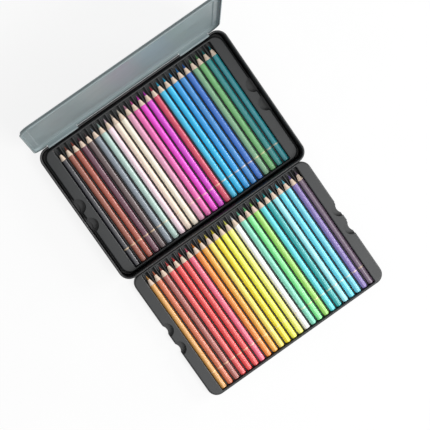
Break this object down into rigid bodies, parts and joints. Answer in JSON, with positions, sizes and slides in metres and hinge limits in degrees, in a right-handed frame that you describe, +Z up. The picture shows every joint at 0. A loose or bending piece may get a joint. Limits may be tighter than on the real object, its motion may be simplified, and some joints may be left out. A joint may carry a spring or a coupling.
{
  "type": "coloured pencil tin",
  "caption": "Flat hinged steel tin, standing open, with round coloured pencils lying side by side in two formed lift-out trays, one in the tin and one on the table in front.",
  "frame": {"origin": "middle of the tin's underside, on the table", "axes": "+X to the right along the hinge, +Y from the front of the tin to its hinge, +Z up from the table; the tin stands open and the upper tray lies in front of it, along -Y"},
  "size_m": [0.28, 0.417, 0.2171],
  "materials": {
    "tin_black": "satin black lacquer on drawn steel",
    "tin_grey": "satin grey lacquer on drawn steel",
    "tray_plastic": "dark grey vacuum-formed sheet, satin",
    "paint_black": "glossy lacquer over wood, with a bare wood cone and a coloured core",
    "paint_sienna": "glossy lacquer over wood, with a bare wood cone and a coloured core",
    "paint_terracotta": "glossy lacquer over wood, with a bare wood cone and a coloured core",
    "paint_plum_brown": "glossy lacquer over wood, with a bare wood cone and a coloured core",
    "paint_umber": "glossy lacquer over wood, with a bare wood cone and a coloured core",
    "paint_slate_grey": "glossy lacquer over wood, with a bare wood cone and a coloured core",
    "paint_sage": "glossy lacquer over wood, with a bare wood cone and a coloured core",
    "paint_blush": "glossy lacquer over wood, with a bare wood cone and a coloured core",
    "paint_peach": "glossy lacquer over wood, with a bare wood cone and a coloured core",
    "paint_cream": "glossy lacquer over wood, with a bare wood cone and a coloured core",
    "paint_rose": "glossy lacquer over wood, with a bare wood cone and a coloured core",
    "paint_deep_rose": "glossy lacquer over wood, with a bare wood cone and a coloured core",
    "paint_magenta": "glossy lacquer over wood, with a bare wood cone and a coloured core",
    "paint_fuchsia": "glossy lacquer over wood, with a bare wood cone and a coloured core",
    "paint_crimson": "glossy lacquer over wood, with a bare wood cone and a coloured core",
    "paint_azure": "glossy lacquer over wood, with a bare wood cone and a coloured core",
    "paint_cerulean": "glossy lacquer over wood, with a bare wood cone and a coloured core",
    "paint_cobalt": "glossy lacquer over wood, with a bare wood cone and a coloured core",
    "paint_ultramarine": "glossy lacquer over wood, with a bare wood cone and a coloured core",
    "paint_royal_blue": "glossy lacquer over wood, with a bare wood cone and a coloured core",
    "paint_grey_green": "glossy lacquer over wood, with a bare wood cone and a coloured core",
    "paint_moss": "glossy lacquer over wood, with a bare wood cone and a coloured core",
    "paint_viridian": "glossy lacquer over wood, with a bare wood cone and a coloured core",
    "paint_deep_teal": "glossy lacquer over wood, with a bare wood cone and a coloured core",
    "paint_golden_yellow": "glossy lacquer over wood, with a bare wood cone and a coloured core",
    "paint_vermilion": "glossy lacquer over wood, with a bare wood cone and a coloured core",
    "paint_coral": "glossy lacquer over wood, with a bare wood cone and a coloured core",
    "paint_scarlet": "glossy lacquer over wood, with a bare wood cone and a coloured core",
    "paint_red": "glossy lacquer over wood, with a bare wood cone and a coloured core",
    "paint_ruby": "glossy lacquer over wood, with a bare wood cone and a coloured core",
    "paint_watermelon": "glossy lacquer over wood, with a bare wood cone and a coloured core",
    "paint_orange": "glossy lacquer over wood, with a bare wood cone and a coloured core",
    "paint_apricot": "glossy lacquer over wood, with a bare wood cone and a coloured core",
    "paint_amber": "glossy lacquer over wood, with a bare wood cone and a coloured core",
    "paint_yellow": "glossy lacquer over wood, with a bare wood cone and a coloured core",
    "paint_lemon": "glossy lacquer over wood, with a bare wood cone and a coloured core",
    "paint_pale_yellow": "glossy lacquer over wood, with a bare wood cone and a coloured core",
    "paint_white": "glossy lacquer over wood, with a bare wood cone and a coloured core",
    "paint_mint": "glossy lacquer over wood, with a bare wood cone and a coloured core",
    "paint_green": "glossy lacquer over wood, with a bare wood cone and a coloured core",
    "paint_lime": "glossy lacquer over wood, with a bare wood cone and a coloured core",
    "paint_turquoise": "glossy lacquer over wood, with a bare wood cone and a coloured core",
    "paint_pine": "glossy lacquer over wood, with a bare wood cone and a coloured core",
    "paint_pale_blue": "glossy lacquer over wood, with a bare wood cone and a coloured core",
    "paint_sky_blue": "glossy lacquer over wood, with a bare wood cone and a coloured core",
    "paint_cyan": "glossy lacquer over wood, with a bare wood cone and a coloured core",
    "paint_violet": "glossy lacquer over wood, with a bare wood cone and a coloured core",
    "paint_aubergine": "glossy lacquer over wood, with a bare wood cone and a coloured core"
  },
  "bodies": {
    "base": {"base": "tin_black"},
    "lid": {"lid": "tin_grey"},
    "lower_tray": {"lower_tray": "tray_plastic"},
    "upper_tray": {"upper_tray": "tray_plastic"},
    "pencil_black": {"pencil_black": "paint_black"},
    "pencil_sienna": {"pencil_sienna": "paint_sienna"},
    "pencil_terracotta": {"pencil_terracotta": "paint_terracotta"},
    "pencil_plum_brown": {"pencil_plum_brown": "paint_plum_brown"},
    "pencil_umber": {"pencil_umber": "paint_umber"},
    "pencil_slate_grey": {"pencil_slate_grey": "paint_slate_grey"},
    "pencil_sage": {"pencil_sage": "paint_sage"},
    "pencil_blush": {"pencil_blush": "paint_blush"},
    "pencil_peach": {"pencil_peach": "paint_peach"},
    "pencil_cream": {"pencil_cream": "paint_cream"},
    "pencil_rose": {"pencil_rose": "paint_rose"},
    "pencil_deep_rose": {"pencil_deep_rose": "paint_deep_rose"},
    "pencil_magenta": {"pencil_magenta": "paint_magenta"},
    "pencil_fuchsia": {"pencil_fuchsia": "paint_fuchsia"},
    "pencil_crimson": {"pencil_crimson": "paint_crimson"},
    "pencil_azure": {"pencil_azure": "paint_azure"},
    "pencil_cerulean": {"pencil_cerulean": "paint_cerulean"},
    "pencil_cobalt": {"pencil_cobalt": "paint_cobalt"},
    "pencil_ultramarine": {"pencil_ultramarine": "paint_ultramarine"},
    "pencil_royal_blue": {"pencil_royal_blue": "paint_royal_blue"},
    "pencil_grey_green": {"pencil_grey_green": "paint_grey_green"},
    "pencil_moss": {"pencil_moss": "paint_moss"},
    "pencil_viridian": {"pencil_viridian": "paint_viridian"},
    "pencil_deep_teal": {"pencil_deep_teal": "paint_deep_teal"},
    "pencil_golden_yellow": {"pencil_golden_yellow": "paint_golden_yellow"},
    "pencil_vermilion": {"pencil_vermilion": "paint_vermilion"},
    "pencil_coral": {"pencil_coral": "paint_coral"},
    "pencil_scarlet": {"pencil_scarlet": "paint_scarlet"},
    "pencil_red": {"pencil_red": "paint_red"},
    "pencil_ruby": {"pencil_ruby": "paint_ruby"},
    "pencil_watermelon": {"pencil_watermelon": "paint_watermelon"},
    "pencil_orange": {"pencil_orange": "paint_orange"},
    "pencil_apricot": {"pencil_apricot": "paint_apricot"},
    "pencil_amber": {"pencil_amber": "paint_amber"},
    "pencil_yellow": {"pencil_yellow": "paint_yellow"},
    "pencil_lemon": {"pencil_lemon": "paint_lemon"},
    "pencil_pale_yellow": {"pencil_pale_yellow": "paint_pale_yellow"},
    "pencil_white": {"pencil_white": "paint_white"},
    "pencil_mint": {"pencil_mint": "paint_mint"},
    "pencil_green": {"pencil_green": "paint_green"},
    "pencil_lime": {"pencil_lime": "paint_lime"},
    "pencil_turquoise": {"pencil_turquoise": "paint_turquoise"},
    "pencil_pine": {"pencil_pine": "paint_pine"},
    "pencil_pale_blue": {"pencil_pale_blue": "paint_pale_blue"},
    "pencil_sky_blue": {"pencil_sky_blue": "paint_sky_blue"},
    "pencil_cyan": {"pencil_cyan": "paint_cyan"},
    "pencil_violet": {"pencil_violet": "paint_violet"},
    "pencil_aubergine": {"pencil_aubergine": "paint_aubergine"}
  },
  "joints": [
    {"name": "lid_hinge", "type": "hinge", "parent": "base", "child": "lid", "pos_m": [0, 0.09645, 0.0257], "axis": [1, 0, 0], "range_deg": [0, 99]},
    {"name": "lift_lower_tray", "type": "slide", "parent": "base", "child": "lower_tray", "axis": [0, 0, 1], "range_m": [0, 0.045]},
    {"name": "lift_upper_tray", "type": "slide", "parent": "base", "child": "upper_tray", "axis": [0, 0, 1], "range_m": [0, 0.05]},
    {"name": "pencil_black_lift", "type": "slide", "parent": "lower_tray", "child": "pencil_black", "axis": [0, 0, 1], "range_m": [0, 0.04]},
    {"name": "pencil_sienna_lift", "type": "slide", "parent": "lower_tray", "child": "pencil_sienna", "axis": [0, 0, 1], "range_m": [0, 0.04]},
    {"name": "pencil_terracotta_lift", "type": "slide", "parent": "lower_tray", "child": "pencil_terracotta", "axis": [0, 0, 1], "range_m": [0, 0.04]},
    {"name": "pencil_plum_brown_lift", "type": "slide", "parent": "lower_tray", "child": "pencil_plum_brown", "axis": [0, 0, 1], "range_m": [0, 0.04]},
    {"name": "pencil_umber_lift", "type": "slide", "parent": "lower_tray", "child": "pencil_umber", "axis": [0, 0, 1], "range_m": [0, 0.04]},
    {"name": "pencil_slate_grey_lift", "type": "slide", "parent": "lower_tray", "child": "pencil_slate_grey", "axis": [0, 0, 1], "range_m": [0, 0.04]},
    {"name": "pencil_sage_lift", "type": "slide", "parent": "lower_tray", "child": "pencil_sage", "axis": [0, 0, 1], "range_m": [0, 0.04]},
    {"name": "pencil_blush_lift", "type": "slide", "parent": "lower_tray", "child": "pencil_blush", "axis": [0, 0, 1], "range_m": [0, 0.04]},
    {"name": "pencil_peach_lift", "type": "slide", "parent": "lower_tray", "child": "pencil_peach", "axis": [0, 0, 1], "range_m": [0, 0.04]},
    {"name": "pencil_cream_lift", "type": "slide", "parent": "lower_tray", "child": "pencil_cream", "axis": [0, 0, 1], "range_m": [0, 0.04]},
    {"name": "pencil_rose_lift", "type": "slide", "parent": "lower_tray", "child": "pencil_rose", "axis": [0, 0, 1], "range_m": [0, 0.04]},
    {"name": "pencil_deep_rose_lift", "type": "slide", "parent": "lower_tray", "child": "pencil_deep_rose", "axis": [0, 0, 1], "range_m": [0, 0.04]},
    {"name": "pencil_magenta_lift", "type": "slide", "parent": "lower_tray", "child": "pencil_magenta", "axis": [0, 0, 1], "range_m": [0, 0.04]},
    {"name": "pencil_fuchsia_lift", "type": "slide", "parent": "lower_tray", "child": "pencil_fuchsia", "axis": [0, 0, 1], "range_m": [0, 0.04]},
    {"name": "pencil_crimson_lift", "type": "slide", "parent": "lower_tray", "child": "pencil_crimson", "axis": [0, 0, 1], "range_m": [0, 0.04]},
    {"name": "pencil_azure_lift", "type": "slide", "parent": "lower_tray", "child": "pencil_azure", "axis": [0, 0, 1], "range_m": [0, 0.04]},
    {"name": "pencil_cerulean_lift", "type": "slide", "parent": "lower_tray", "child": "pencil_cerulean", "axis": [0, 0, 1], "range_m": [0, 0.04]},
    {"name": "pencil_cobalt_lift", "type": "slide", "parent": "lower_tray", "child": "pencil_cobalt", "axis": [0, 0, 1], "range_m": [0, 0.04]},
    {"name": "pencil_ultramarine_lift", "type": "slide", "parent": "lower_tray", "child": "pencil_ultramarine", "axis": [0, 0, 1], "range_m": [0, 0.04]},
    {"name": "pencil_royal_blue_lift", "type": "slide", "parent": "lower_tray", "child": "pencil_royal_blue", "axis": [0, 0, 1], "range_m": [0, 0.04]},
    {"name": "pencil_grey_green_lift", "type": "slide", "parent": "lower_tray", "child": "pencil_grey_green", "axis": [0, 0, 1], "range_m": [0, 0.04]},
    {"name": "pencil_moss_lift", "type": "slide", "parent": "lower_tray", "child": "pencil_moss", "axis": [0, 0, 1], "range_m": [0, 0.04]},
    {"name": "pencil_viridian_lift", "type": "slide", "parent": "lower_tray", "child": "pencil_viridian", "axis": [0, 0, 1], "range_m": [0, 0.04]},
    {"name": "pencil_deep_teal_lift", "type": "slide", "parent": "lower_tray", "child": "pencil_deep_teal", "axis": [0, 0, 1], "range_m": [0, 0.04]},
    {"name": "pencil_golden_yellow_lift", "type": "slide", "parent": "upper_tray", "child": "pencil_golden_yellow", "axis": [0, 0, 1], "range_m": [0, 0.03]},
    {"name": "pencil_vermilion_lift", "type": "slide", "parent": "upper_tray", "child": "pencil_vermilion", "axis": [0, 0, 1], "range_m": [0, 0.03]},
    {"name": "pencil_coral_lift", "type": "slide", "parent": "upper_tray", "child": "pencil_coral", "axis": [0, 0, 1], "range_m": [0, 0.03]},
    {"name": "pencil_scarlet_lift", "type": "slide", "parent": "upper_tray", "child": "pencil_scarlet", "axis": [0, 0, 1], "range_m": [0, 0.03]},
    {"name": "pencil_red_lift", "type": "slide", "parent": "upper_tray", "child": "pencil_red", "axis": [0, 0, 1], "range_m": [0, 0.03]},
    {"name": "pencil_ruby_lift", "type": "slide", "parent": "upper_tray", "child": "pencil_ruby", "axis": [0, 0, 1], "range_m": [0, 0.03]},
    {"name": "pencil_watermelon_lift", "type": "slide", "parent": "upper_tray", "child": "pencil_watermelon", "axis": [0, 0, 1], "range_m": [0, 0.03]},
    {"name": "pencil_orange_lift", "type": "slide", "parent": "upper_tray", "child": "pencil_orange", "axis": [0, 0, 1], "range_m": [0, 0.03]},
    {"name": "pencil_apricot_lift", "type": "slide", "parent": "upper_tray", "child": "pencil_apricot", "axis": [0, 0, 1], "range_m": [0, 0.03]},
    {"name": "pencil_amber_lift", "type": "slide", "parent": "upper_tray", "child": "pencil_amber", "axis": [0, 0, 1], "range_m": [0, 0.03]},
    {"name": "pencil_yellow_lift", "type": "slide", "parent": "upper_tray", "child": "pencil_yellow", "axis": [0, 0, 1], "range_m": [0, 0.03]},
    {"name": "pencil_lemon_lift", "type": "slide", "parent": "upper_tray", "child": "pencil_lemon", "axis": [0, 0, 1], "range_m": [0, 0.03]},
    {"name": "pencil_pale_yellow_lift", "type": "slide", "parent": "upper_tray", "child": "pencil_pale_yellow", "axis": [0, 0, 1], "range_m": [0, 0.03]},
    {"name": "pencil_white_lift", "type": "slide", "parent": "upper_tray", "child": "pencil_white", "axis": [0, 0, 1], "range_m": [0, 0.03]},
    {"name": "pencil_mint_lift", "type": "slide", "parent": "upper_tray", "child": "pencil_mint", "axis": [0, 0, 1], "range_m": [0, 0.03]},
    {"name": "pencil_green_lift", "type": "slide", "parent": "upper_tray", "child": "pencil_green", "axis": [0, 0, 1], "range_m": [0, 0.03]},
    {"name": "pencil_lime_lift", "type": "slide", "parent": "upper_tray", "child": "pencil_lime", "axis": [0, 0, 1], "range_m": [0, 0.03]},
    {"name": "pencil_turquoise_lift", "type": "slide", "parent": "upper_tray", "child": "pencil_turquoise", "axis": [0, 0, 1], "range_m": [0, 0.03]},
    {"name": "pencil_pine_lift", "type": "slide", "parent": "upper_tray", "child": "pencil_pine", "axis": [0, 0, 1], "range_m": [0, 0.03]},
    {"name": "pencil_pale_blue_lift", "type": "slide", "parent": "upper_tray", "child": "pencil_pale_blue", "axis": [0, 0, 1], "range_m": [0, 0.03]},
    {"name": "pencil_sky_blue_lift", "type": "slide", "parent": "upper_tray", "child": "pencil_sky_blue", "axis": [0, 0, 1], "range_m": [0, 0.03]},
    {"name": "pencil_cyan_lift", "type": "slide", "parent": "upper_tray", "child": "pencil_cyan", "axis": [0, 0, 1], "range_m": [0, 0.03]},
    {"name": "pencil_violet_lift", "type": "slide", "parent": "upper_tray", "child": "pencil_violet", "axis": [0, 0, 1], "range_m": [0, 0.03]},
    {"name": "pencil_aubergine_lift", "type": "slide", "parent": "upper_tray", "child": "pencil_aubergine", "axis": [0, 0, 1], "range_m": [0, 0.03]}
  ]
}
